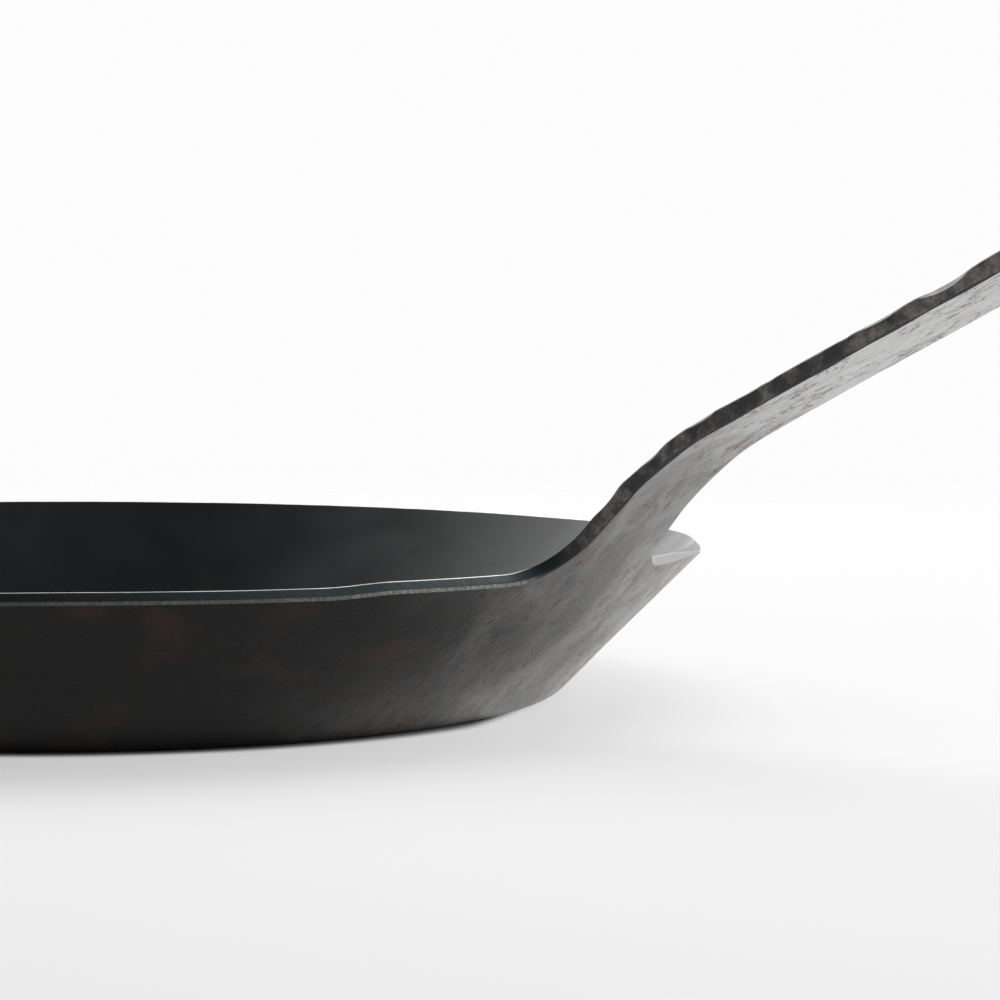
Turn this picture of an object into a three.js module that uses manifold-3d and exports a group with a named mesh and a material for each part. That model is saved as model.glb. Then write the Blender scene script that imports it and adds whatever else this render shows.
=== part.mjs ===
// A one-piece forged iron frying pan: a shallow bowl with a flared wall, and a long handle
// drawn out of the same sheet at the rim. The real pan is a single forging. It is modelled as
// two solids, bowl and handle, that face each other across a hairline seam at the rim.
//
// Millimetres, +Z up. The handle points along +X, and the origin is the centre of the base's
// underside. Along the handle, "run" is the distance up the underside from the rim line.

import * as THREE from "three";
import { mergeVertices } from "three/addons/utils/BufferGeometryUtils.js";
import Module from "manifold-3d";

const { degToRad, lerp, smoothstep } = THREE.MathUtils;

// Bowl
const SHEET = 2.9;                      // thickness of base and wall
const RIM_RADIUS = 140;                 // outer corner of the rim
const RIM_HEIGHT = 31.3;                // height of that corner
const WALL_ANGLE = degToRad(45.5);      // wall above the horizontal
const BASE_BEND = 8;                    // outside radius between base and wall
const RIM_RISE = 2.4;                   // extra wall drawn up beside the handle
const RISE_STARTS = degToRad(32);       // angle from the handle where the rim starts to rise
const RISE_ENDS = degToRad(14);         // angle from the handle where it has risen
const BOWL_SIDES = 120;
const BEND_SEGMENTS = 6;

// Handle
const HANDLE_RUN = 262;                 // run at the tip
const NECK_WIDTH = 24.5;
const TIP_WIDTH = 29;
const HANDLE_THICKNESS = 3.3;
const ROOT_FILLET = 13;                 // radius from the rim into each long edge
const FILLET_TOE = degToRad(15);        // the fillets stop this far short of the rim's tangent
const HANDLE_ANGLE = degToRad(27);      // handle above the horizontal, past the neck
const TIP_ANGLE = degToRad(18);
const BEND_RUN = [21, 51];              // the handle leaves the wall's slope over this run
const EASE_RUN = [120, HANDLE_RUN];     // and flattens towards the tip over this one
const FLATTEN_RUN = [10, 40];           // the section's curve fades from the rim's to none
const WIDEN_RUN = [110, 245];
const THICKEN_RUN = [3, 25];
const TIP_BLUNT = degToRad(78);         // the round tip ends in a short straight edge
const SEAM = 0.3;                       // gap between the two solids
const COLUMNS = 8;                      // divisions across the handle
const FILLET_STEPS = 7;                 // divisions along its stretches, in order
const NECK_STEPS = 2;
const BEND_STEPS = 12;
const SHAFT_STEPS = 21;
const TIP_STEPS = 6;

// Hanging eye, a teardrop whose round end is nearest the tip
const EYE_RADIUS = 6.5;
const EYE_POINT_RADIUS = 2;
const EYE_LENGTH = 22;                  // between the centres of its two round ends
const EYE_FROM_TIP = 17;                // from the tip to the centre of the large end
const EYE_SEGMENTS = 12;                // on each arc
const EYE_CUTTER_DEPTH = 8 * HANDLE_THICKNESS;

const COLOURS = { bowl: 0x3b3d3c, handle: 0x8f8f8b };

function solidMesh(name, geometry) {
  const material = new THREE.MeshStandardMaterial({
    color: COLOURS[name],
    roughness: 0.5,
    metalness: 0.8,
  });
  const mesh = new THREE.Mesh(geometry, material);
  mesh.name = name;
  return mesh;
}

function positionsOnly(geometry) {
  geometry.deleteAttribute("normal");
  geometry.deleteAttribute("uv");
  return mergeVertices(geometry);
}

function rimRise(angle) {
  return RIM_RISE * (1 - smoothstep(Math.abs(angle), RISE_ENDS, RISE_STARTS));
}

// Half of the bowl's section: (radius, height) of a point on the wall, at a distance along the
// outer wall from the rim and a depth into the metal.
function wallPoint(along, depth) {
  return new THREE.Vector2(
    RIM_RADIUS + along * Math.cos(WALL_ANGLE) - depth * Math.sin(WALL_ANGLE),
    RIM_HEIGHT + along * Math.sin(WALL_ANGLE) + depth * Math.cos(WALL_ANGLE),
  );
}

function bendPoints(depth) {
  const foot = RIM_RADIUS - RIM_HEIGHT / Math.tan(WALL_ANGLE);
  const centre = foot - BASE_BEND * Math.tan(WALL_ANGLE / 2);
  const radius = BASE_BEND - depth;
  return Array.from({ length: BEND_SEGMENTS + 1 }, (_, i) => {
    const turn = (WALL_ANGLE * i) / BEND_SEGMENTS;
    return new THREE.Vector2(
      centre + radius * Math.sin(turn),
      BASE_BEND - radius * Math.cos(turn),
    );
  });
}

function makeBowl() {
  const section = [
    new THREE.Vector2(0, 0),
    ...bendPoints(0),
    wallPoint(0, 0),
    wallPoint(0, SHEET),
    ...bendPoints(SHEET).reverse(),
    new THREE.Vector2(0, SHEET),
  ];
  const geometry = positionsOnly(new THREE.LatheGeometry(section, BOWL_SIDES));
  geometry.rotateX(Math.PI / 2);
  const position = geometry.getAttribute("position");
  for (let i = 0; i < position.count; i += 1) {
    if (position.getZ(i) < RIM_HEIGHT - SEAM) continue;
    const angle = Math.atan2(position.getY(i), position.getX(i));
    const outwards = rimRise(angle) * Math.cos(WALL_ANGLE);
    position.setXYZ(
      i,
      position.getX(i) + outwards * Math.cos(angle),
      position.getY(i) + outwards * Math.sin(angle),
      position.getZ(i) + rimRise(angle) * Math.sin(WALL_ANGLE),
    );
  }
  return solidMesh("bowl", geometry);
}

function handleSlope(run) {
  const bend = (WALL_ANGLE - HANDLE_ANGLE) * smoothstep(run, ...BEND_RUN);
  const ease = (HANDLE_ANGLE - TIP_ANGLE) * smoothstep(run, ...EASE_RUN);
  return WALL_ANGLE - bend - ease;
}

// The middle of the handle's underside, by following the slope up from the rim.
function handleMiddle(run) {
  const steps = Math.ceil(run);
  const middle = new THREE.Vector3(RIM_RADIUS, 0, RIM_HEIGHT);
  for (let i = 0; i < steps; i += 1) {
    const slope = handleSlope(((i + 0.5) * run) / steps);
    middle.x += (Math.cos(slope) * run) / steps;
    middle.z += (Math.sin(slope) * run) / steps;
  }
  return middle;
}

function sideWidth(run) {
  return lerp(NECK_WIDTH, TIP_WIDTH, smoothstep(run, ...WIDEN_RUN)) / 2;
}

// The handle's stations from the rim to the tip, each with its run and its half width.
function handleStations() {
  const stations = [];
  const addSpread = (count, makeStation) => {
    for (let i = 0; i < count; i += 1) stations.push(makeStation(i / count));
  };
  const filletEnds = RIM_RISE + SEAM + ROOT_FILLET;
  const tipStarts = HANDLE_RUN - TIP_WIDTH / 2;
  addSpread(FILLET_STEPS, (t) => {
    const turn = lerp(FILLET_TOE, Math.PI / 2, t);
    return {
      run: filletEnds - ROOT_FILLET * (Math.cos(turn) / Math.cos(FILLET_TOE)),
      half: NECK_WIDTH / 2 + ROOT_FILLET * (1 - Math.sin(turn)),
    };
  });
  const addSides = (count, from, to) => addSpread(count, (t) => {
    const run = lerp(from, to, t);
    return { run, half: sideWidth(run) };
  });
  addSides(NECK_STEPS, filletEnds, BEND_RUN[0]);
  addSides(BEND_STEPS, ...BEND_RUN);
  addSides(SHAFT_STEPS, BEND_RUN[1], tipStarts);
  const tipStation = (t) => ({
    run: tipStarts + (TIP_WIDTH / 2) * Math.sin(t * TIP_BLUNT),
    half: (TIP_WIDTH / 2) * Math.cos(t * TIP_BLUNT),
  });
  addSpread(TIP_STEPS, tipStation);
  stations.push(tipStation(1));
  return stations;
}

// A point of the handle: across is 0 in the middle, and depth is measured up from the underside.
function handlePoint({ run, half }, share, raised) {
  const flatness = smoothstep(run, ...FLATTEN_RUN);
  const middle = handleMiddle(run);
  const radius = middle.x / Math.max(1 - flatness, 1e-3);
  const angle = (share * half) / radius;
  const slope = handleSlope(run);
  const depth = raised * lerp(SHEET, HANDLE_THICKNESS, smoothstep(run, ...THICKEN_RUN));
  const inwards = depth * Math.sin(slope);
  return new THREE.Vector3(
    middle.x - radius + (radius - inwards) * Math.cos(angle),
    (radius - inwards) * Math.sin(angle),
    middle.z + depth * Math.cos(slope),
  );
}

// A closed solid through sections that each have a lower and an upper row of points.
function loftedStrip(sections) {
  const positions = sections.flat(2).flatMap((point) => point.toArray());
  const width = sections[0][0].length;
  const at = (station, row, column) => (station * 2 + row) * width + column;
  const triangles = [];
  const quad = (a, b, c, d) => triangles.push(a, b, c, a, c, d);
  for (let s = 0; s < sections.length - 1; s += 1) {
    for (let c = 0; c < width - 1; c += 1) {
      quad(at(s, 0, c), at(s, 0, c + 1), at(s + 1, 0, c + 1), at(s + 1, 0, c));
      quad(at(s, 1, c), at(s + 1, 1, c), at(s + 1, 1, c + 1), at(s, 1, c + 1));
    }
    quad(at(s, 0, 0), at(s + 1, 0, 0), at(s + 1, 1, 0), at(s, 1, 0));
    const e = width - 1;
    quad(at(s, 0, e), at(s, 1, e), at(s + 1, 1, e), at(s + 1, 0, e));
  }
  const last = sections.length - 1;
  for (let c = 0; c < width - 1; c += 1) {
    quad(at(0, 0, c), at(0, 1, c), at(0, 1, c + 1), at(0, 0, c + 1));
    quad(at(last, 0, c), at(last, 0, c + 1), at(last, 1, c + 1), at(last, 1, c));
  }
  const geometry = new THREE.BufferGeometry();
  geometry.setAttribute("position", new THREE.Float32BufferAttribute(positions, 3));
  geometry.setIndex(triangles);
  return geometry;
}

// The teardrop's outline is two arcs joined by their shared tangents.
function makeEyeCutter() {
  const tangent = Math.acos(-(EYE_RADIUS - EYE_POINT_RADIUS) / EYE_LENGTH);
  const outline = new THREE.Shape();
  outline.absarc(0, 0, EYE_RADIUS, -tangent, tangent);
  outline.absarc(-EYE_LENGTH, 0, EYE_POINT_RADIUS, tangent, 2 * Math.PI - tangent);
  const cutter = new THREE.ExtrudeGeometry(outline, {
    depth: EYE_CUTTER_DEPTH,
    bevelEnabled: false,
    curveSegments: EYE_SEGMENTS,
  });
  cutter.translate(0, 0, -EYE_CUTTER_DEPTH / 2);
  const run = HANDLE_RUN - EYE_FROM_TIP;
  cutter.rotateY(-handleSlope(run));
  cutter.translate(...handleMiddle(run).toArray());
  return cutter;
}

const wasm = await Module();
wasm.setup();

function toManifold(geometry) {
  const merged = positionsOnly(geometry);
  return new wasm.Manifold(new wasm.Mesh({
    numProp: 3,
    vertProperties: new Float32Array(merged.getAttribute("position").array),
    triVerts: new Uint32Array(merged.getIndex().array),
  }));
}

function cut(geometry, cutter) {
  const result = toManifold(geometry).subtract(toManifold(cutter)).getMesh();
  const geometryCut = new THREE.BufferGeometry();
  geometryCut.setAttribute("position", new THREE.BufferAttribute(result.vertProperties, 3));
  geometryCut.setIndex(new THREE.BufferAttribute(result.triVerts, 1));
  return geometryCut;
}

function makeHandle() {
  const sections = handleStations().map((station) => [0, 1].map((raised) => (
    Array.from({ length: COLUMNS + 1 }, (_, c) => (
      handlePoint(station, (2 * c) / COLUMNS - 1, raised)
    ))
  )));
  return solidMesh("handle", cut(loftedStrip(sections), makeEyeCutter()));
}

const pan = new THREE.Group();
pan.name = "frying_pan";
pan.add(makeBowl(), makeHandle());

export default pan;
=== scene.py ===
"""The looks of a one-piece forged iron frying pan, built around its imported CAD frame.

The real pan is one forging, so its whole skin is made here as one sheet: a flat blank of triangles
and edge strips that is bent into the bowl and the handle, given its thickness, and hammered.
The sheet is then parted across the neck into two closed pieces, pan_bowl and pan_handle.

Lengths are in millimetres until a mesh is made. In the blank, rho is the distance from the
middle, and run is how far a point lies beyond the rim line, along the wall or the handle.
Across is the distance from the handle's middle line, positive towards +Y.
"""

import math

import bpy
import numpy as np
from mathutils import Matrix, Vector, noise
from mathutils.geometry import delaunay_2d_cdt


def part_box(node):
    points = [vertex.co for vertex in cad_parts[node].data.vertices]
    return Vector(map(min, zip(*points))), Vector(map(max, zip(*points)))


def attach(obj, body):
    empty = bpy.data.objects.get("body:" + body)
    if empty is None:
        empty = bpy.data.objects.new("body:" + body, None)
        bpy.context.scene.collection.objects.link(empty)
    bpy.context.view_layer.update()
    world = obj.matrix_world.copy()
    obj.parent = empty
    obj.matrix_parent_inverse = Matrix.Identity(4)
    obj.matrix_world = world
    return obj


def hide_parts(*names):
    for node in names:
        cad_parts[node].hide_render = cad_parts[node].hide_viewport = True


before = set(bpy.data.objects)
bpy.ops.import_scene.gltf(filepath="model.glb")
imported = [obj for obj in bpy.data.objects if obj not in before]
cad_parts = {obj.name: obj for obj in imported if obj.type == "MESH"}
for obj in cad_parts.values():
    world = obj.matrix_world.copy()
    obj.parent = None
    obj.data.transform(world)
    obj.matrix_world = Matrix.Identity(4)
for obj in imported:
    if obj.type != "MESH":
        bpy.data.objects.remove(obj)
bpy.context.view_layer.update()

MM = 0.001

# Bowl
RIM_RADIUS = -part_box("bowl")[0].x / MM
RIM_HEIGHT = 31.3
SHEET = 2.9
WALL_ANGLE = math.radians(45.5)
BASE_BEND = 8.0

# Handle
HANDLE_RUN = 262.0
NECK_HALF = 12.25
TIP_HALF = 14.5
HANDLE_ANGLE = math.radians(27)
TIP_ANGLE = math.radians(18)
BEND_RUN = (20.8, 50.8)
EASE_RUN = (120, HANDLE_RUN)
FLATTEN_RUN = (10, 40)
WIDEN_RUN = (110, 245)
THICKEN_RUN = (3, 25)
SEAM_RUN = 24.0

# Hanging eye
EYE_RADIUS = 6.5
EYE_POINT_RADIUS = 2.0
EYE_LENGTH = 22.0
EYE_FROM_TIP = 17.0


# ---------------------------------------------------------------- section of the bowl and handle


def smooth(x, low, high):
    t = np.clip((np.asarray(x, float) - low) / (high - low), 0, 1)
    return t * t * (3 - 2 * t)


def lerp(a, b, t):
    return a + (b - a) * t


WALL_FOOT = BASE_BEND * (1 - math.cos(WALL_ANGLE))
WALL_LENGTH = (RIM_HEIGHT - WALL_FOOT) / math.sin(WALL_ANGLE)
BEND_LENGTH = BASE_BEND * WALL_ANGLE
FLOOR_RHO = RIM_RADIUS - WALL_LENGTH - BEND_LENGTH
FLOOR_RADIUS = RIM_RADIUS - WALL_LENGTH * math.cos(WALL_ANGLE) - BASE_BEND * math.sin(WALL_ANGLE)


def handle_slope(run):
    bend = (WALL_ANGLE - HANDLE_ANGLE) * smooth(run, *BEND_RUN)
    ease = (HANDLE_ANGLE - TIP_ANGLE) * smooth(run, *EASE_RUN)
    return WALL_ANGLE - bend - ease


RUN_STEP = 0.25
run_table = np.arange(0, HANDLE_RUN + 5, RUN_STEP)
step_slope = handle_slope(run_table[:-1] + RUN_STEP / 2)
reach_table = RIM_RADIUS + np.concatenate([[0], np.cumsum(np.cos(step_slope) * RUN_STEP)])
rise_table = RIM_HEIGHT + np.concatenate([[0], np.cumsum(np.sin(step_slope) * RUN_STEP)])


def section(rho):
    """Radius, height and slope of the underside at a distance from the blank's middle."""
    run = rho - RIM_RADIUS
    on_wall = run <= 0
    on_bend = rho < RIM_RADIUS - WALL_LENGTH
    on_floor = rho < FLOOR_RHO
    turn = (rho - FLOOR_RHO) / BASE_BEND
    reach = np.interp(run, run_table, reach_table)
    height = np.interp(run, run_table, rise_table)
    slope = handle_slope(run)
    reach = np.where(on_wall, RIM_RADIUS + run * math.cos(WALL_ANGLE), reach)
    height = np.where(on_wall, RIM_HEIGHT + run * math.sin(WALL_ANGLE), height)
    reach = np.where(on_bend, FLOOR_RADIUS + BASE_BEND * np.sin(turn), reach)
    height = np.where(on_bend, BASE_BEND * (1 - np.cos(turn)), height)
    slope = np.where(on_bend, turn, slope)
    reach = np.where(on_floor, rho * FLOOR_RADIUS / FLOOR_RHO, reach)
    height = np.where(on_floor, 0, height)
    slope = np.where(on_floor, 0, slope)
    return reach, height, slope


def bend_blank(blank, depth):
    """Where points of the flat blank end up on the pan, depth above the underside."""
    rho = np.hypot(blank[:, 0], blank[:, 1])
    angle = np.arctan2(blank[:, 1], blank[:, 0])
    reach, height, slope = section(rho)
    roundness = np.maximum(1 - smooth(rho - RIM_RADIUS, *FLATTEN_RUN), 1e-3)
    radius = reach / roundness
    turn = angle * roundness
    inwards = depth * np.sin(slope)
    return np.column_stack([
        reach - radius + (radius - inwards) * np.cos(turn),
        (radius - inwards) * np.sin(turn),
        height + depth * np.cos(slope),
    ])


def to_blank(run, across):
    """The blank's point for a run and a distance across."""
    run, across = np.broadcast_arrays(np.asarray(run, float), np.asarray(across, float))
    rho = RIM_RADIUS + run
    angle = across / section(rho)[0]
    return np.column_stack([rho * np.cos(angle), rho * np.sin(angle)])


def run_and_across(blank):
    rho = np.hypot(blank[:, 0], blank[:, 1])
    return rho - RIM_RADIUS, section(rho)[0] * np.arctan2(blank[:, 1], blank[:, 0])


# ---------------------------------------------------------------- outline of the blank

# Each side of the root. Swells are how far the rim has been drawn up, and the angles from the
# handle over which that fades. The fillet is as wide and as long as given. Tapers are how much
# wider than the neck the edge still is, and the run over which that fades. The two sides of a
# hand-forged root differ.
RIM_SWELL = 0.35
NEAR_ROOT = {
    "side": -1,
    "swells": [(1.0, 21, 27)],
    "fillet": (13.2, 12.6),
    "tapers": [(-0.55, 14, 34)],
}
FAR_ROOT = {
    "side": 1,
    "swells": [(1.7, 35, 80), (1.8, 21, 31)],
    "fillet": (12.5, 6.7),
    "tapers": [(2.8, 10.2, 22.5), (0.45, 26, 46)],
}

# Distances between the points of each outline, and of the seam.
RIM_STEP = 1.5
FILLET_STEP = 0.8
HANDLE_STEP = 1.0
EYE_STEP = 0.7
SEAM_STEP = 1.2
# How far inside the outline and the eye the lines of their edge strips lie.
LAYERS = (0.5, 1.1, 1.9, 2.8, 4.0)
EYE_LAYERS = (0.5, 1.2, 2.2)


def spread(start, end, step):
    """Evenly spaced values or points from start towards end, without the end itself."""
    start, end = np.asarray(start, float), np.asarray(end, float)
    count = max(2, round(float(np.linalg.norm(end - start)) / step))
    return start + np.multiply.outer(np.arange(count) / count, end - start)


def half_width(run):
    return lerp(NECK_HALF, TIP_HALF, smooth(run, *WIDEN_RUN))


def faded(at, steps):
    """The sum of steps, each as high as its first number and fading between the other two."""
    return sum(height * (1 - smooth(at, *ends)) for height, *ends in steps)


def root_outline(root):
    """One side of the outline, from opposite the handle to where the round tip starts."""
    side, (fillet_width, fillet_length) = root["side"], root["fillet"]
    toe = NECK_HALF + faded(0, root["tapers"]) + fillet_width
    centre_run = RIM_SWELL + faded(0, root["swells"]) + fillet_length
    arc = np.arange(math.pi, toe / RIM_RADIUS, -RIM_STEP / RIM_RADIUS)
    rim_run = RIM_SWELL + faded(np.degrees(arc), root["swells"])
    rim_across = section(RIM_RADIUS + rim_run)[0] * arc
    turn = spread(0, math.pi / 2, FILLET_STEP / fillet_width)
    fillet_run = centre_run - fillet_length * np.cos(turn)
    fillet_across = toe - fillet_width * np.sin(turn)
    edge_run = spread(centre_run, HANDLE_RUN - TIP_HALF, HANDLE_STEP)
    edge_across = half_width(edge_run) + faded(edge_run, root["tapers"])
    runs = np.concatenate([rim_run, fillet_run, edge_run])
    acrosses = np.concatenate([rim_across, fillet_across, edge_across]) * side
    return runs, acrosses


def pan_outline():
    near = root_outline(NEAR_ROOT)
    far = root_outline(FAR_ROOT)
    turn = spread(-math.pi / 2, math.pi / 2, HANDLE_STEP / TIP_HALF)
    tip_run = HANDLE_RUN - TIP_HALF + TIP_HALF * np.cos(turn)
    tip_across = TIP_HALF * np.sin(turn)
    runs = np.concatenate([near[0], tip_run, far[0][:0:-1]])
    acrosses = np.concatenate([near[1], tip_across, far[1][:0:-1]])
    return to_blank(runs, acrosses)


def arc_points(centre_run, radius, turn):
    return np.column_stack([centre_run + radius * np.cos(turn), radius * np.sin(turn)])


def eye_outline():
    """The teardrop eye, clockwise so that the metal lies on its left."""
    big, small = EYE_RADIUS, EYE_POINT_RADIUS
    big_run = HANDLE_RUN - EYE_FROM_TIP
    small_run = big_run - EYE_LENGTH
    tangent = math.acos((small - big) / EYE_LENGTH)
    big_arc = arc_points(big_run, big, spread(-tangent, tangent, EYE_STEP / big))
    small_turn = spread(tangent, 2 * math.pi - tangent, EYE_STEP / small)
    small_arc = arc_points(small_run, small, small_turn)
    big_end = arc_points(big_run, big, [tangent])[0]
    small_end = arc_points(small_run, small, [-tangent])[0]
    points = np.concatenate([
        big_arc,
        spread(big_end, small_arc[0], EYE_STEP),
        small_arc,
        spread(small_end, big_arc[0], EYE_STEP),
    ])
    return to_blank(points[::-1, 0], points[::-1, 1])


def inward_normals(loop):
    tangent = np.roll(loop, -1, axis=0) - np.roll(loop, 1, axis=0)
    tangent /= np.linalg.norm(tangent, axis=1)[:, None]
    return np.column_stack([-tangent[:, 1], tangent[:, 0]])


# ---------------------------------------------------------------- flat mesh inside the edge strips

# Distances between the rings and rows of points, and between the points on them.
FLOOR_PITCH = 3.6
BEND_PITCH = 0.8
WALL_PITCH = 2.0
RING_PITCH = 2.1
HANDLE_PITCH = 1.3
FIRST_RING = 4
# The rings' points are closer together from this far inside the floor's edge.
FINE_FROM = 6
# The rings stop this far short of the edge strips, and the rows reach this far to each side.
RING_MARGIN = 1.2
ROW_HALF = 40
# How far those points keep from the innermost lines of the edge strips, and from the seam.
OUTLINE_CLEARANCE = 0.75
EYE_CLEARANCE = 0.6
SEAM_CLEARANCE = 0.8 * SEAM_STEP
# Only points within these distances of the rim's inner line and of the tip are tested for that.
RIM_ZONE = 4
EYE_ZONE = 60
# Points tested at a time.
CHUNK = 2000
# What the triangulation gives: only what lies within the given edges.
WITHIN_EDGES = 1
MERGE_DISTANCE = 1e-5


def inside(points, loop):
    """Which points lie inside a closed loop, by counting crossings."""
    ahead = np.roll(loop, -1, axis=0)
    result = np.zeros(len(points), bool)
    for start in range(0, len(points), CHUNK):
        p = points[start:start + CHUNK, None, :]
        crosses = (loop[None, :, 1] > p[..., 1]) != (ahead[None, :, 1] > p[..., 1])
        drop = (ahead[:, 1] - loop[:, 1])[None]
        safe = np.where(np.abs(drop) < 1e-12, 1e-12, drop)
        at = loop[None, :, 0] + (p[..., 1] - loop[None, :, 1]) / safe * (ahead - loop)[None, :, 0]
        result[start:start + CHUNK] = (crosses & (p[..., 0] < at)).sum(axis=1) % 2 == 1
    return result


def clearance(points, loop):
    """How far each point is from the nearest point of a loop."""
    result = np.empty(len(points))
    for start in range(0, len(points), CHUNK):
        gaps = points[start:start + CHUNK, None, :] - loop[None]
        result[start:start + CHUNK] = np.sqrt((gaps**2).sum(axis=2).min(axis=1))
    return result


def ring_points():
    """Staggered rings over the floor, the bend and most of the wall."""
    bend_end = FLOOR_RHO + BEND_LENGTH
    radii = np.concatenate([
        spread(FIRST_RING, FLOOR_RHO, FLOOR_PITCH),
        spread(FLOOR_RHO, bend_end, BEND_PITCH),
        spread(bend_end, RIM_RADIUS - LAYERS[-1] - RING_MARGIN, WALL_PITCH),
    ])
    points = [[0.0, 0.0]]
    for i, rho in enumerate(radii):
        pitch = FLOOR_PITCH if rho < FLOOR_RHO - FINE_FROM else RING_PITCH
        count = round(2 * math.pi * rho / pitch)
        angles = 2 * math.pi * (np.arange(count) + 0.5 * (i % 2)) / count
        points.extend(zip(rho * np.cos(angles), rho * np.sin(angles), strict=True))
    return np.array(points)


def strip_points():
    """Staggered rows over the root and the handle."""
    rows = []
    for i, run in enumerate(np.arange(-LAYERS[-1], HANDLE_RUN, HANDLE_PITCH)):
        across = np.arange(-ROW_HALF, ROW_HALF, HANDLE_PITCH) + 0.5 * HANDLE_PITCH * (i % 2)
        rows.append(to_blank(run, across))
    return np.concatenate(rows)


def seam_samples(outline):
    """The outline's samples nearest to the seam on the near and on the far edge."""
    run, across = run_and_across(outline)
    away = np.abs(run - SEAM_RUN)
    return tuple(int(np.argmin(np.where(across * side < 0, np.inf, away))) for side in (-1, 1))


outline = pan_outline()
eye = eye_outline()
outline_in = inward_normals(outline)
eye_in = inward_normals(eye)
seam = seam_samples(outline)


def free_points(outer_loop, eye_loop, seam_line):
    """The rings' and rows' points that lie on the metal, clear of the given lines."""
    free = np.concatenate([ring_points(), strip_points()])
    near_rim = np.hypot(free[:, 0], free[:, 1]) > RIM_RADIUS - LAYERS[-1] - RIM_ZONE
    keep = np.ones(len(free), bool)
    keep[near_rim] = inside(free[near_rim], outer_loop)
    keep[near_rim] &= clearance(free[near_rim], outer_loop) > OUTLINE_CLEARANCE
    near_eye = keep & (free[:, 0] > RIM_RADIUS + HANDLE_RUN - EYE_ZONE)
    keep[near_eye] = ~inside(free[near_eye], eye_loop)
    keep[near_eye] &= clearance(free[near_eye], eye_loop) > EYE_CLEARANCE
    keep &= clearance(free, seam_line) > SEAM_CLEARANCE
    return free[keep]


def flat_core():
    """Vertices and triangles between the innermost lines of the edge strips.

    Also tells which vertex is which sample of the outline, followed by the eye's samples.
    """
    outer_loop = outline + outline_in * LAYERS[-1]
    eye_loop = eye + eye_in * EYE_LAYERS[-1]
    seam_line = spread(outer_loop[seam[0]], outer_loop[seam[1]], SEAM_STEP)[1:]
    n, m = len(outer_loop), len(eye_loop)
    edges = [(i, (i + 1) % n) for i in range(n)]
    edges += [(n + i, n + (i + 1) % m) for i in range(m)]
    chain = [seam[0], *range(n + m, n + m + len(seam_line)), seam[1]]
    edges += zip(chain[:-1], chain[1:], strict=True)
    free = free_points(outer_loop, eye_loop, seam_line)
    points = np.concatenate([outer_loop, eye_loop, seam_line, free])
    verts, _, faces, origins, _, _ = delaunay_2d_cdt(
        [Vector(p) for p in points], edges, [], WITHIN_EDGES, MERGE_DISTANCE
    )
    placed = np.array([v[:] for v in verts])
    source = [o[0] if o else -1 for o in origins]
    triangles = []
    for face in faces:
        over_eye = all(n <= source[i] < n + m for i in face)
        if not over_eye:
            triangles.append(tuple(face))
    vertex_of = {sample: i for i, sample in enumerate(source) if sample >= 0}
    return placed, np.array(triangles), vertex_of


# ---------------------------------------------------------------- hammer marks and hand work

# Thickness of the handle before it is hammered, and the run over which the blows begin.
HANDLE_THICKNESS = 3.6
HAMMERED_RUN = (4, 16)
# The lower corner's chamfer, and the radius of the upper one. The far fillet has a wide chamfer,
# and its edge leans in.
RIM_CHAMFER = 0.5
HANDLE_CHAMFER = 0.18
FILLET_CHAMFER = 1.5
RIM_ROUND = 0.36
HANDLE_ROUND = 0.3
FAR_LEAN = 1.8

# Hammer blows along the near edge's upper corner: run, half length and depth. The short ones
# are nicks.
NEAR_BLOWS = [
    (20.5, 4, 0.35),
    (32, 6, 0.25),
    (44, 6, 0.2),
    (59, 7, 0.05),
    (63, 1.5, 0.15),
    (74, 7, 0.05),
    (80.5, 1.6, 0.12),
    (88, 6, 0.18),
    (103, 8, 0.20),
]
# Stretches where that corner is beaten or worn to a wider bevel: run, half length and width.
NEAR_BEVELS = [
    (33.8, 3.5, 0.6),
    (46.5, 5, 0.6),
    (58.6, 4.5, 0.4),
    (73.7, 6, 0.4),
    (88.5, 6.5, 0.65),
    (102.5, 6.5, 1.3),
]
# The same for its lower corner.
NEAR_UNDERS = [
    (23, 3, 0.25),
    (36, 6, 0.55),
    (52, 5, 0.2),
    (75, 4.5, 0.4),
    (90, 6, 0.3),
    (106, 7, 0.3),
]
# Ranges for the blows made at random: half length, and distance to the next one in half lengths.
BLOW_HALF = (6.5, 9.5)
BLOW_GAP = (1.6, 2.1)
TIP_MARGIN = 10
rng = np.random.default_rng(11)


def more_blows(start, low, high):
    """Blows from a run on to the tip, each between low and high deep or wide."""
    blows = []
    run = start
    while run < HANDLE_RUN - TIP_MARGIN:
        half = rng.uniform(*BLOW_HALF)
        blows.append((run, half, rng.uniform(low, high)))
        run += half * rng.uniform(*BLOW_GAP)
    return blows


near_top = NEAR_BLOWS + more_blows(122, 0.15, 0.45)
far_top = more_blows(20, 0.15, 0.45)
near_side = more_blows(22, 0.10, 0.35)
far_side = more_blows(28, 0.10, 0.35)
near_bevels = NEAR_BEVELS + more_blows(124, 0.3, 1.0)
near_unders = NEAR_UNDERS + more_blows(122, 0.2, 0.5)
far_bevels = more_blows(24, 0.3, 0.9)


def scallops(run, blows):
    """How deep or wide the blows have cut at a run."""
    depth = np.zeros_like(run)
    for centre, half, deepest in blows:
        depth = np.maximum(depth, deepest * (1 - ((run - centre) / half) ** 2))
    return depth


DIMPLES = 70
DIMPLE_RUN = (30, HANDLE_RUN)
DIMPLE_ACROSS = (-13, 13)
DIMPLE_RADIUS = (8, 13)
DIMPLE_DEPTH = (0.08, 0.2)
dimples = [
    (
        rng.uniform(*DIMPLE_RUN),
        rng.uniform(*DIMPLE_ACROSS),
        rng.uniform(*DIMPLE_RADIUS),
        rng.uniform(*DIMPLE_DEPTH),
    )
    for _ in range(DIMPLES)
]


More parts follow.
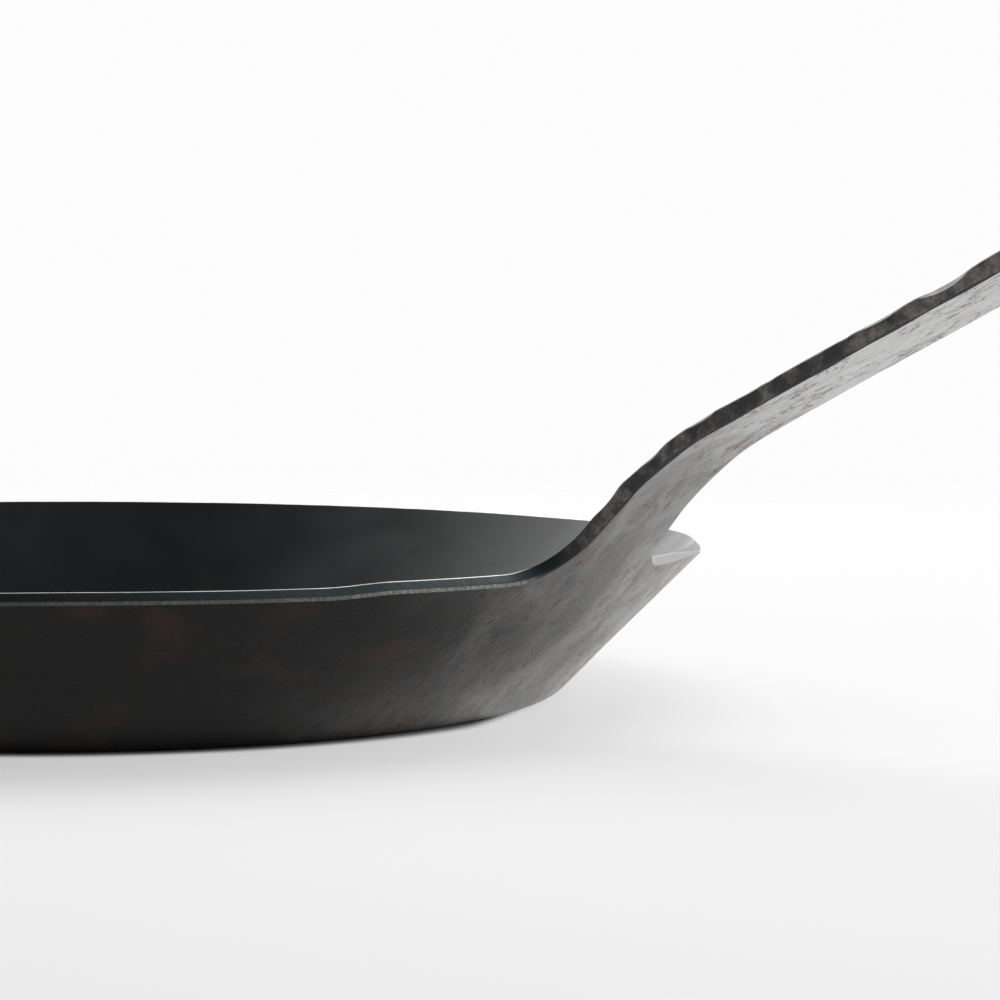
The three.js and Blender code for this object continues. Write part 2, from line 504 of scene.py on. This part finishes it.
def dimpled(run, across):
    """Shallow hammer marks over the flat of the handle."""
    depth = np.zeros_like(run)
    for at_run, at_across, radius, deepest in dimples:
        away = ((run - at_run) ** 2 + (across - at_across) ** 2) / radius**2
        depth = np.maximum(depth, deepest * (1 - away))
    return depth


def sheet_depth(run, across):
    """The hammered sheet's thickness: the blows thin it most along its edges."""
    base = lerp(SHEET, HANDLE_THICKNESS, smooth(run, *THICKEN_RUN))
    share = across / half_width(run)
    on_handle = smooth(run, *HAMMERED_RUN)
    near = scallops(run, near_top) * smooth(-share, 0.35, 1.0)
    far = scallops(run, far_top) * smooth(share, 0.35, 1.0)
    return base - on_handle * (near + far + dimpled(run, across))


def noise_at(points, size, seed):
    """Smooth noise between about -1 and 1, with features of a given size."""
    shift = Vector((seed * 17.3, seed * 5.1, seed * 9.7))
    return np.array([noise.noise(Vector(p) / size + shift) for p in points])


def uneven(points, rho):
    """How far the sheet stands off its ideal surface, so that nothing is machine-true."""
    off_floor = smooth(rho, FLOOR_RHO + 2, FLOOR_RHO + 22)
    broad = 0.30 * noise_at(points, 70, 1)
    fine = 0.07 * noise_at(points, 16, 2)
    return off_floor * (broad + fine)


# ---------------------------------------------------------------- the whole skin

# Where the edge's extra lines lie: as shares of the chamfer, near its two corners, and as shares
# of the straight face above it.
SUPPORT = 0.12
FACE_SHARES = (1 / 3, 2 / 3)
ROUND_STEPS = 4


def edge_sizes(run, across):
    """Chamfer under, rounding on top, and how far the edge leans in at the top."""
    angle = np.degrees(np.abs(across) / section(RIM_RADIUS + run)[0])
    on_handle = smooth(run, 4, 14)
    under = lerp(RIM_CHAMFER, HANDLE_CHAMFER, smooth(run, 1.5, 6))
    far = across > 0
    root = far * smooth(angle, 7, 11) * (1 - smooth(angle, 13, 23)) * (1 - on_handle)
    under = lerp(under, FILLET_CHAMFER, root)
    under = under + ~far * on_handle * scallops(run, near_unders)
    bevels = np.where(far, scallops(run, far_bevels), scallops(run, near_bevels))
    top = lerp(RIM_ROUND, np.maximum(HANDLE_ROUND, bevels), on_handle)
    lean = FAR_LEAN * far * (1 - smooth(angle, 21, 31)) * (1 - on_handle)
    return under, top, lean


def edge_profile(depth, under, top, lean):
    """Points across the edge, from the underside's corner to the top's: inset and height."""
    corner = (0, SUPPORT, 1 - SUPPORT, 1)
    inset = [under + SUPPORT] + [under * (1 - s) for s in corner]
    height = [0 * under] + [under * s for s in corner]
    for share in FACE_SHARES:
        inset.append(lean * share)
        height.append(lerp(under, depth - top, share))
    for turn in np.linspace(0, math.pi / 2, ROUND_STEPS + 1):
        inset.append(lean + top * (1 - math.cos(turn)))
        height.append(depth - top * (1 - math.sin(turn)))
    return np.column_stack(inset), np.column_stack(height)


def edge_strip(loop, inward, layers, shift, sizes):
    """Blank points and depths of every line across a loop's edge.

    Each line runs from the underside, round the edge and back over the top. Its two ends lie
    on the core's loop, so they are left out here.
    """
    depth = sheet_depth(*run_and_across(loop))
    inset, height = edge_profile(depth, *sizes)
    reach = layers[-1]
    inner = np.array(layers[:-1])[::-1]
    under = inset[:, :1] + inner * (1 - inset[:, :1] / reach)
    top = inset[:, -1:] + inner[::-1] * (1 - inset[:, -1:] / reach)
    distance = np.column_stack([under, inset, top])
    moved = distance + shift[:, None] * (1 - smooth(distance, 0, reach))
    blank = loop[:, None, :] + inward[:, None, :] * moved[..., None]
    top_depth = sheet_depth(*run_and_across(blank.reshape(-1, 2))).reshape(distance.shape)
    first = len(inner)
    last = first + height.shape[1]
    depths = np.zeros_like(distance)
    depths[:, first:last] = height
    depths[:, last:] = top_depth[:, last:]
    return blank, depths


UNDER, TOP, EDGE, WORN, ARRIS, CAP = range(6)
PROFILE_KINDS = [UNDER] + [WORN] * 3 + [EDGE] * 3 + [ARRIS] * ROUND_STEPS
BOWL, HANDLE = range(2)


class Skin:
    """Vertices and faces of the sheet's whole surface, before it is parted."""

    def __init__(self):
        self.blank, self.depth = [], []
        self.faces, self.kinds, self.parts = [], [], []
        self.count = 0

    def add_points(self, blank, depth):
        first = self.count
        self.blank.append(blank)
        self.depth.append(depth)
        self.count += len(blank)
        return np.arange(first, self.count)

    def add_faces(self, faces, kind, part):
        self.faces.extend(faces)
        self.kinds.extend([kind] * len(faces))
        self.parts.extend([part] * len(faces))

    def add_strip(self, blank, depths, ends, layers, parts):
        """One loop's edge strip. Gives the vertices of its lines, with their ends in the core."""
        ids = self.add_points(blank.reshape(-1, 2), depths.ravel()).reshape(depths.shape)
        lines = np.column_stack([ends[0], ids, ends[1]])
        kinds = [UNDER] * len(layers) + PROFILE_KINDS + [TOP] * len(layers)
        for k, line in enumerate(lines):
            after = lines[(k + 1) % len(lines)]
            for m, kind in enumerate(kinds):
                self.add_faces([(line[m], after[m], after[m + 1], line[m + 1])], kind, parts[k])
        return lines

    def add_cap(self, pairs):
        """The seam's face, closing both parts: pairs of vertices under and on top."""
        cap = [(a, c, d, b) for (a, b), (c, d) in zip(pairs[:-1], pairs[1:], strict=True)]
        self.add_faces(cap, CAP, BOWL)
        self.add_faces([face[::-1] for face in cap], CAP, HANDLE)


def past_seam(points, start, end):
    """Which points lie on the handle's side of the seam."""
    along, offset = end - start, points - start
    return (along[0] * offset[:, 1] - along[1] * offset[:, 0] < 0) & (points[:, 0] > RIM_RADIUS)


def build_skin():
    placed, triangles, vertex_of = flat_core()
    skin = Skin()
    under = skin.add_points(placed, np.zeros(len(placed)))
    top = skin.add_points(placed, sheet_depth(*run_and_across(placed)))
    seam_ends = [vertex_of[k] for k in seam]
    on_handle = past_seam(placed[triangles].mean(axis=1), *placed[seam_ends])
    for part, chosen in ((BOWL, triangles[~on_handle]), (HANDLE, triangles[on_handle])):
        skin.add_faces([tuple(under[t[::-1]]) for t in chosen], UNDER, part)
        skin.add_faces([tuple(top[t]) for t in chosen], TOP, part)

    run, across = run_and_across(outline)
    beaten = np.where(across < 0, scallops(run, near_side), scallops(run, far_side))
    shift = smooth(run, *HAMMERED_RUN) * beaten
    strip = edge_strip(outline, outline_in, LAYERS, shift, edge_sizes(run, across))
    core = [vertex_of[k] for k in range(len(outline))]
    parts = [HANDLE if seam[0] <= k < seam[1] else BOWL for k in range(len(outline))]
    lines = skin.add_strip(*strip, (under[core], top[core]), LAYERS, parts)

    still = np.zeros(len(eye))
    sizes = (still + HANDLE_CHAMFER, still + HANDLE_ROUND, still)
    strip = edge_strip(eye, eye_in, EYE_LAYERS, still, sizes)
    core = [vertex_of[len(outline) + k] for k in range(len(eye))]
    skin.add_strip(*strip, (under[core], top[core]), EYE_LAYERS, [HANDLE] * len(eye))

    shared = set(triangles[on_handle].ravel()) & set(triangles[~on_handle].ravel())
    core_across = run_and_across(placed)[1]
    middle = sorted(shared - set(seam_ends), key=lambda i: core_across[i])
    half = lines.shape[1] // 2
    near_line, far_line = lines[seam[0]], lines[seam[1]]
    pairs = [(near_line[m], near_line[-1 - m]) for m in reversed(range(half))]
    pairs += [(under[i], top[i]) for i in middle]
    pairs += [(far_line[m], far_line[-1 - m]) for m in range(half)]
    skin.add_cap(pairs)
    return skin


skin = build_skin()
blank = np.concatenate(skin.blank)
depth = np.concatenate(skin.depth)
rho = np.hypot(blank[:, 0], blank[:, 1])
underside = bend_blank(blank, 0 * depth)
positions = bend_blank(blank, depth + uneven(underside, rho))
run, across = run_and_across(blank)
kinds, parts = np.array(skin.kinds), np.array(skin.parts)


def skin_normals():
    """Every vertex's normal on the unparted skin, so that the seam doesn't show."""
    whole = bpy.data.meshes.new("whole")
    shown = [tuple(map(int, skin.faces[i])) for i in np.flatnonzero(kinds != CAP)]
    whole.from_pydata(positions * MM, [], shown)
    result = np.array([v.vector[:] for v in whole.vertex_normals])
    bpy.data.meshes.remove(whole)
    return result


normals = skin_normals()


def make_piece(name, part, materials):
    """One part of the skin as an object, with each point's run and across for the materials."""
    chosen = np.flatnonzero(parts == part)
    used = sorted({int(v) for i in chosen for v in skin.faces[i]})
    place = {v: i for i, v in enumerate(used)}
    mesh = bpy.data.meshes.new(name)
    faces = [tuple(place[int(v)] for v in skin.faces[i]) for i in chosen]
    mesh.from_pydata(positions[used] * MM, [], faces)
    mesh.polygons.foreach_set("material_index", np.where(kinds[chosen] == CAP, EDGE, kinds[chosen]))
    mesh.polygons.foreach_set("use_smooth", np.ones(len(faces), bool))
    for key, values in (("run", run), ("across", across)):
        layer = mesh.attributes.new(key, "FLOAT", "POINT")
        layer.data.foreach_set("value", values[used].astype(np.float32))
    loop_normals = []
    for polygon, i in zip(mesh.polygons, chosen, strict=True):
        if kinds[i] == CAP:
            loop_normals.extend([polygon.normal[:]] * len(polygon.vertices))
        else:
            loop_normals.extend(normals[int(v)] for v in skin.faces[i])
    mesh.normals_split_custom_set([tuple(n) for n in loop_normals])
    for material in materials:
        mesh.materials.append(material)
    piece = bpy.data.objects.new(name, mesh)
    bpy.context.scene.collection.objects.link(piece)
    return piece


# ---------------------------------------------------------------- materials


class Nodes:
    """A small helper that adds shader nodes to a material or to the world and joins them up."""

    def __init__(self, owner, end):
        owner.use_nodes = True
        self.owner = owner
        self.tree = owner.node_tree
        self.end = self.tree.nodes[end]

    def put(self, node, key, value):
        if isinstance(value, bpy.types.NodeSocket):
            self.tree.links.new(value, node.inputs[key])
        else:
            node.inputs[key].default_value = value

    def add(self, kind, inputs, output=0, **settings):
        node = self.tree.nodes.new(kind)
        for key, value in settings.items():
            setattr(node, key, value)
        for key, value in inputs.items():
            self.put(node, key, value)
        return node.outputs[output]

    def finish(self, inputs):
        for key, value in inputs.items():
            self.put(self.end, key, value)
        return self.owner

    def attribute(self, name):
        return self.add("ShaderNodeAttribute", {}, output="Fac", attribute_name=name)

    def place(self):
        """Where a point is, in millimetres."""
        metres = self.add("ShaderNodeTexCoord", {}, output="Object")
        return self.add("ShaderNodeVectorMath", {0: metres, "Scale": 1 / MM}, operation="SCALE")

    def drawn_out(self, place, stretch):
        """The place with everything drawn out along the handle by a factor."""
        inputs = {"Vector": place, "Rotation": (0, -HANDLE_ANGLE, 0), "Scale": (stretch, 1, 1)}
        return self.add("ShaderNodeMapping", inputs, vector_type="TEXTURE")

    def towards(self, vector, way):
        """How far a vector reaches along another."""
        inputs = {0: vector, 1: way}
        return self.add("ShaderNodeVectorMath", inputs, output="Value", operation="DOT_PRODUCT")

    def maths(self, operation, a, b=0.0):
        return self.add("ShaderNodeMath", {0: a, 1: b}, operation=operation)

    def total(self, *parts):
        result = parts[0]
        for part in parts[1:]:
            result = self.maths("ADD", result, part)
        return result

    def product(self, *parts):
        result = parts[0]
        for part in parts[1:]:
            result = self.maths("MULTIPLY", result, part)
        return result

    def noise(self, place, size, detail=3.0, rough=0.55, warp=0.0):
        """Noise whose largest features have about the given size, averaging 0.5."""
        settings = {"Vector": place, "Scale": 1 / size, "Detail": detail, "Roughness": rough}
        return self.add("ShaderNodeTexNoise", settings | {"Distortion": warp})

    def fade(self, value, low, high, start=0.0, end=1.0):
        """A smooth step from start to end as the value goes from low to high."""
        settings = {"Value": value, 1: low, 2: high, 3: start, 4: end}
        return self.add("ShaderNodeMapRange", settings, interpolation_type="SMOOTHSTEP")

    def mix(self, share, a, b):
        """A colour from a to b. Inputs 6 and 7 are the node's colours."""
        colours = {"Factor": share}
        for key, value in ((6, a), (7, b)):
            colours[key] = value if isinstance(value, bpy.types.NodeSocket) else (*value, 1)
        return self.add("ShaderNodeMix", colours, output=2, data_type="RGBA")

    def far_side(self, low, high):
        """Reaches 1 on the far edge as it rises past the rim line, from low to high."""
        return self.product(
            self.fade(self.attribute("across"), 4, 8), self.fade(self.attribute("run"), low, high)
        )

    def bump(self, heights):
        """A normal from pairs of height source and its depth in millimetres."""
        normal = None
        for height, deepest in heights:
            inputs = {"Height": height, "Distance": deepest * MM, "Strength": 1.0}
            if normal is not None:
                inputs["Normal"] = normal
            normal = self.add("ShaderNodeBump", inputs)
        return normal


def new_material(name):
    return Nodes(bpy.data.materials.new(name), "Principled BSDF")


SCALE_BLACK = (0.0042, 0.0040, 0.0036)
SCALE_RED = (0.020, 0.0095, 0.0070)
SCALE_BROWN = (0.016, 0.011, 0.009)
BARE_STEEL = (0.54, 0.54, 0.535)
BARE_BROWN = (0.33, 0.285, 0.255)
SEASONED = (0.0045, 0.006, 0.007)
# A lighter seasoned colour, painted where the inside reflects the bright surroundings.
SEASONED_SHEEN = (0.085, 0.088, 0.092)
BLUED = (0.002, 0.004, 0.0055)
# The blued edge painted lighter where the light from the back and right falls on it.
LIT_BLUED = (0.020, 0.034, 0.036)
EDGE_SCALE = (0.024, 0.022, 0.022)
EDGE_BARE = (0.19, 0.168, 0.16)
DULL_STEEL = (0.012, 0.016, 0.017)
DULL_ARRIS = (0.06, 0.057, 0.054)
WORN_STEEL = (0.47, 0.465, 0.40)
BRIGHT_STEEL = (0.85, 0.85, 0.84)

UP = Vector((0, 0, 1))
BEHIND = Vector((0, 1, 0))
TO_HANDLE = Vector((1, 0, 0))
# Towards this side the scale is thinnest, and the colours are also painted lighter there, standing in
# for the light from the back and right. On the floor it brings the glow closer in.
LIT_AND_BARE_SIDE = Vector((0.62, 0.78, 0))


def outside_iron():
    """Hot-rolled scale on the bowl's outside, rubbed through to bare steel along the handle, and
    painted lighter towards the lit side and its foot for the light and reflections there.
    """
    nodes = new_material("outside_iron")
    place = nodes.place()
    run = nodes.attribute("run")
    side = nodes.towards(place, LIT_AND_BARE_SIDE)
    height = nodes.towards(place, UP)
    wiped = nodes.drawn_out(place, 1.6)
    smudges = nodes.noise(wiped, 17, detail=6, rough=0.55, warp=0.4)
    mottle = nodes.noise(wiped, 4.5, detail=5, rough=0.65)
    speckle = nodes.noise(wiped, 1.6, detail=5, rough=0.7, warp=0.3)
    grain = nodes.noise(place, 0.5, detail=2)

    # How far the scale is rubbed off, up to 1. Towards the lit side this is partly painted light: bare
    # steel there also stands in for the sheen of the light from the back and right.
    # Painted reflection: the wall's foot on the lit side is coloured paler, standing in for the bright
    # table it mirrors.
    painted_foot_reflection = nodes.product(nodes.fade(height, 2, 26, 0.24, 0.0), nodes.fade(side, 0, 60))
    change = nodes.total(
        nodes.fade(smudges, 0.38, 0.62, -0.07, 0.08),
        nodes.fade(mottle, 0.35, 0.65, -0.08, 0.08),
    )
    rubbed = nodes.total(
        nodes.fade(side, 30, 135, 0.0, 0.5),
        nodes.product(nodes.fade(run, -35, 5, 0.0, 0.14), nodes.fade(side, 20, 80)),
        nodes.fade(run, 25, 75, 0.0, 0.4),
        painted_foot_reflection,
        nodes.product(change, nodes.fade(side, 20, 90)),
    )
    rubbed = nodes.fade(rubbed, 0, 1)

    # Clusters of fine dark cracks along the handle, and pits all over.
    cracks = nodes.noise(nodes.drawn_out(place, 2.4), 5, detail=5, rough=0.65, warp=0.8)
    ridge = nodes.maths("ABSOLUTE", nodes.maths("SUBTRACT", cracks, 0.5))
    cluster = nodes.fade(nodes.noise(wiped, 11, detail=2), 0.43, 0.53)
    crack = nodes.product(nodes.fade(ridge, 0.0, 0.024, 1.0, 0.0), cluster, nodes.fade(run, 15, 60))
    pits = nodes.product(nodes.fade(speckle, 0.55, 0.66), nodes.fade(mottle, 0.42, 0.60))

    patches = nodes.noise(place, 24, detail=4, rough=0.6)
    dark = nodes.mix(nodes.fade(patches, 0.50, 0.68), SCALE_BLACK, SCALE_RED)
    brown = nodes.product(nodes.fade(mottle, 0.42, 0.6), nodes.fade(run, 35, 70, 1.0, 0.25))
    steel = nodes.mix(brown, BARE_STEEL, BARE_BROWN)
    colour = nodes.mix(rubbed, dark, steel)
    colour = nodes.mix(nodes.maths("MULTIPLY", pits, 0.6), colour, SCALE_BROWN)
    colour = nodes.mix(nodes.maths("MULTIPLY", crack, 0.85), colour, SCALE_BLACK)
    rough = nodes.total(nodes.fade(grain, 0.3, 0.7, 0.34, 0.46), nodes.maths("MULTIPLY", pits, 0.12))
    waves = nodes.noise(place, 7, detail=2)
    return nodes.finish({
        "Base Color": colour,
        "Metallic": nodes.maths("MULTIPLY", rubbed, 0.95),
        "Roughness": rough,
        "Specular IOR Level": 0.14,
        "Normal": nodes.bump([(waves, 0.10), (speckle, 0.06), (grain, 0.02), (crack, -0.08)]),
    })


def inside_iron():
    """The seasoned inside: smooth and blue-black, painted lighter towards the handle, standing in for
    the bright surroundings it reflects there.
    """
    nodes = new_material("inside_iron")
    place = nodes.place()
    mottle = nodes.noise(nodes.drawn_out(place, 2.0), 16, detail=5, rough=0.6)
    grain = nodes.noise(place, 0.6, detail=2)
    drift = nodes.product(nodes.noise(place, 70, detail=3), 90.0)
    # Painted reflection: how much of the lighter colour shows, growing towards the handle and with the
    # mottle.
    painted_sheen = nodes.fade(nodes.total(nodes.towards(place, TO_HANDLE), drift), -25, 125)
    painted_sheen = nodes.product(painted_sheen, nodes.fade(mottle, 0.3, 0.7, 0.55, 1.25))
    rough = nodes.fade(mottle, 0.3, 0.7, 0.34, 0.46)
    return nodes.finish({
        "Base Color": nodes.mix(painted_sheen, SEASONED, SEASONED_SHEEN),
        "Roughness": rough,
        "Specular IOR Level": 0.38,
        "Normal": nodes.bump([(nodes.noise(place, 9, detail=2), 0.05), (grain, 0.012)]),
    })


def edge_iron():
    """The sheet's edge: sheared and blued on the bowl, hammered and scaled on the handle."""
    nodes = new_material("edge_iron")
    place = nodes.place()
    run = nodes.attribute("run")
    on_handle = nodes.fade(run, 4, 20)
    mottle = nodes.noise(place, 5, detail=6, rough=0.65, warp=0.5)
    broad = nodes.noise(place, 16, detail=2)
    flecks = nodes.fade(nodes.noise(place, 1.3, detail=4, rough=0.7), 0.40, 0.60, 0.55, 1.15)
    grain = nodes.noise(place, 0.7, detail=3)
    bare = nodes.fade(nodes.total(nodes.product(mottle, 0.65), nodes.product(broad, 0.35)), 0.42, 0.62)
    bare = nodes.product(bare, on_handle, flecks)
    black = nodes.mix(on_handle, BLUED, EDGE_SCALE)
    # Painted light: the rim's edge turns a lighter blue towards the lit side, standing in for the
    # light from the back and right.
    thin = nodes.fade(nodes.towards(place, LIT_AND_BARE_SIDE), -40, 60)
    thin = nodes.product(thin, nodes.fade(run, 1.3, 4, 1.0, 0.1))
    return nodes.finish({
        "Base Color": nodes.mix(bare, nodes.mix(thin, black, LIT_BLUED), EDGE_BARE),
        "Metallic": nodes.maths("MULTIPLY", bare, 0.6),
        "Roughness": 0.42,
        "Specular IOR Level": 0.32,
        "Normal": nodes.bump([(mottle, 0.2), (grain, 0.04)]),
    })


def worn_iron():
    """The lower corner, dressed with a file on the rim: pale, with fine marks across it."""
    nodes = new_material("worn_iron")
    place = nodes.place()
    run = nodes.attribute("run")
    lengthwise = nodes.add("ShaderNodeCombineXYZ", {"X": nodes.attribute("across")})
    marks = nodes.noise(lengthwise, 0.9, detail=4, rough=0.75)
    flecks = nodes.noise(place, 0.6, detail=3, rough=0.7)
    worn = nodes.product(
        # Paler towards the lit side: partly wear, and partly painted light from the back and right.
        nodes.fade(nodes.towards(place, LIT_AND_BARE_SIDE), -40, 100, 0.08, 0.8),
        nodes.fade(nodes.noise(place, 22, detail=3), 0.4, 0.62, 0.55, 1.0),
        nodes.fade(marks, 0.38, 0.68, 1.0, 0.45),
        nodes.fade(flecks, 0.38, 0.62, 1.0, 0.35),
        nodes.fade(run, 1.45, 3.5, 1.0, 0.0),
    )
    far_root = nodes.product(nodes.far_side(0.6, 2.0), nodes.fade(run, 6, 16, 0.65, 0.0))
    steel = nodes.mix(nodes.fade(far_root, 0.0, 0.1), WORN_STEEL, BARE_STEEL)
    worn = nodes.maths("MAXIMUM", worn, far_root)
    return nodes.finish({
        "Base Color": nodes.mix(worn, DULL_STEEL, steel),
        "Metallic": nodes.maths("MULTIPLY", worn, 0.8),
        "Roughness": 0.42,
        "Normal": nodes.bump([(marks, 0.04)]),
    })


def arris_iron():
    """The upper corner, rubbed bright except beside the root. Its pale colour is partly a painted
    highlight, strongest towards the lit side.
    """
    nodes = new_material("arris_iron")
    place = nodes.place()
    run = nodes.attribute("run")
    on_rim = nodes.maths("SUBTRACT", nodes.fade(run, 1.5, 3.0, 1.0, 0.0), nodes.far_side(0.2, 1.2))
    bright = nodes.product(
        # Painted highlight: brighter towards the lit side.
        nodes.fade(nodes.towards(place, LIT_AND_BARE_SIDE), -20, 50, 0.65, 1.0),
        nodes.fade(nodes.noise(place, 6, detail=3), 0.35, 0.65, 0.6, 1.0),
        nodes.maths("MAXIMUM", on_rim, nodes.fade(run, 16, 27)),
    )
    return nodes.finish({
        "Base Color": nodes.mix(bright, DULL_ARRIS, BRIGHT_STEEL),
        "Metallic": nodes.fade(bright, 0.0, 0.3, 0.0, 0.9),
        "Roughness": 0.28,
        "Specular IOR Level": 0.05,
        "Normal": nodes.bump([(nodes.noise(place, 0.8, detail=2), 0.02)]),
    })


steel = [outside_iron(), inside_iron(), edge_iron(), worn_iron(), arris_iron()]
pan_bowl = make_piece("pan_bowl", BOWL, steel)
pan_handle = make_piece("pan_handle", HANDLE, steel)
for piece, node in ((pan_bowl, "bowl"), (pan_handle, "handle")):
    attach(piece, "root")
    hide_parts(node)


# ---------------------------------------------------------------- floor, lights and camera

# How far from the pan's middle the camera stands, measured level, and how high. Its azimuth goes
# from the front towards the handle. Yaw turns it to the right of the middle.
CAMERA_DISTANCE = 667.9
CAMERA_HEIGHT = 81.3
CAMERA_AZIMUTH = math.radians(43.9)
CAMERA_YAW = math.radians(8.272)
CAMERA_PITCH = math.radians(-3.336)
CAMERA_ROLL = math.radians(0.4625)
CAMERA_LENS = 105.4


def make_camera():
    data = bpy.data.cameras.new("camera")
    data.lens = CAMERA_LENS
    data.sensor_width = 36
    camera = bpy.data.objects.new("camera", data)
    aim = Matrix.Rotation(CAMERA_AZIMUTH - CAMERA_YAW, 4, "Z")
    aim @= Matrix.Rotation(math.pi / 2 + CAMERA_PITCH, 4, "X")
    aim @= Matrix.Rotation(CAMERA_ROLL, 4, "Z")
    place = Vector((
        CAMERA_DISTANCE * math.sin(CAMERA_AZIMUTH),
        -CAMERA_DISTANCE * math.cos(CAMERA_AZIMUTH),
        CAMERA_HEIGHT,
    ))
    camera.matrix_world = Matrix.Translation(place * MM) @ aim
    bpy.context.scene.collection.objects.link(camera)
    bpy.context.scene.camera = camera


# Half the floor's side, in metres.
FLOOR_HALF = 1.2
# Distances from the pan's middle over which the floor starts to glow, leaving a painted dark contact
# shadow round the base, and fades away.
GLOW_START = (109, 115)
FLOOR_FADE = (500, 1100)


def floor_material():
    """A pale glowing table, clear far from the pan, where the white surroundings take over.

    Its glow is painted light that lifts the table's shadows: a little less towards the front, and none
    under the pan's base, which paints a dark contact shadow there.
    On the lit side the glow comes a little closer in, narrowing that shadow.
    """
    nodes = new_material("floor")
    place = nodes.place()
    away = nodes.add("ShaderNodeVectorMath", {0: place}, output="Value", operation="LENGTH")
    lifted = nodes.total(away, nodes.fade(nodes.towards(place, LIT_AND_BARE_SIDE), 65, 90, 0.0, 6.0))
    glow = nodes.fade(nodes.towards(place, BEHIND), -420, 40, 0.36, 0.53)
    return nodes.finish({
        "Base Color": (0.40, 0.40, 0.405, 1),
        "Roughness": 0.9,
        "Specular IOR Level": 0.0,
        "Emission Color": (1, 1, 1, 1),
        "Emission Strength": nodes.product(glow, nodes.fade(lifted, *GLOW_START)),
        "Alpha": nodes.fade(away, *FLOOR_FADE, 1.0, 0.0),
    })


def make_floor():
    mesh = bpy.data.meshes.new("floor")
    corners = [(-1, -1, 0), (1, -1, 0), (1, 1, 0), (-1, 1, 0)]
    mesh.from_pydata([FLOOR_HALF * Vector(corner) for corner in corners], [], [(0, 1, 2, 3)])
    mesh.materials.append(floor_material())
    floor = bpy.data.objects.new("floor", mesh)
    bpy.context.scene.collection.objects.link(floor)


def make_overhead_light():
    """A large soft light above and behind the pan, which isn't seen mirrored in the steel."""
    data = bpy.data.lights.new("overhead", "AREA")
    data.shape = "SQUARE"
    data.size = 1.6
    data.energy = 12
    light = bpy.data.objects.new("overhead", data)
    light.location = (-0.2, 0.6, 1.5)
    light.rotation_euler = (-light.location).to_track_quat("-Z", "Y").to_euler()
    light.visible_glossy = False
    bpy.context.scene.collection.objects.link(light)


# How bright the surroundings are in each direction, and where the camera sees them.
FRONT_GLOW = 0.5
BACK_GLOW = 2.1
ZENITH_GLOW = 0.16
FLOOR_GLOW = 0.9
BACKDROP = 0.98


def make_world():
    """A studio: bright behind the pan and below, dimmer overhead and in front."""
    nodes = Nodes(bpy.data.worlds.new("studio"), "Background")
    way = nodes.add("ShaderNodeTexCoord", {}, output="Generated")
    up = nodes.towards(way, UP)
    glow = nodes.fade(nodes.towards(way, BEHIND), -0.3, 0.5, FRONT_GLOW, BACK_GLOW)
    glow = nodes.fade(up, 0.55, 0.95, glow, ZENITH_GLOW)
    glow = nodes.fade(up, -0.02, 0.02, FLOOR_GLOW, glow)
    seen = nodes.add("ShaderNodeLightPath", {}, output="Is Camera Ray")
    strength = nodes.add("ShaderNodeMix", {"Factor": seen, 2: glow, 3: BACKDROP})
    bpy.context.scene.world = nodes.finish({"Color": (1, 1, 1, 1), "Strength": strength})


make_camera()
make_floor()
make_world()
make_overhead_light()
bpy.context.scene.view_settings.view_transform = "Standard"
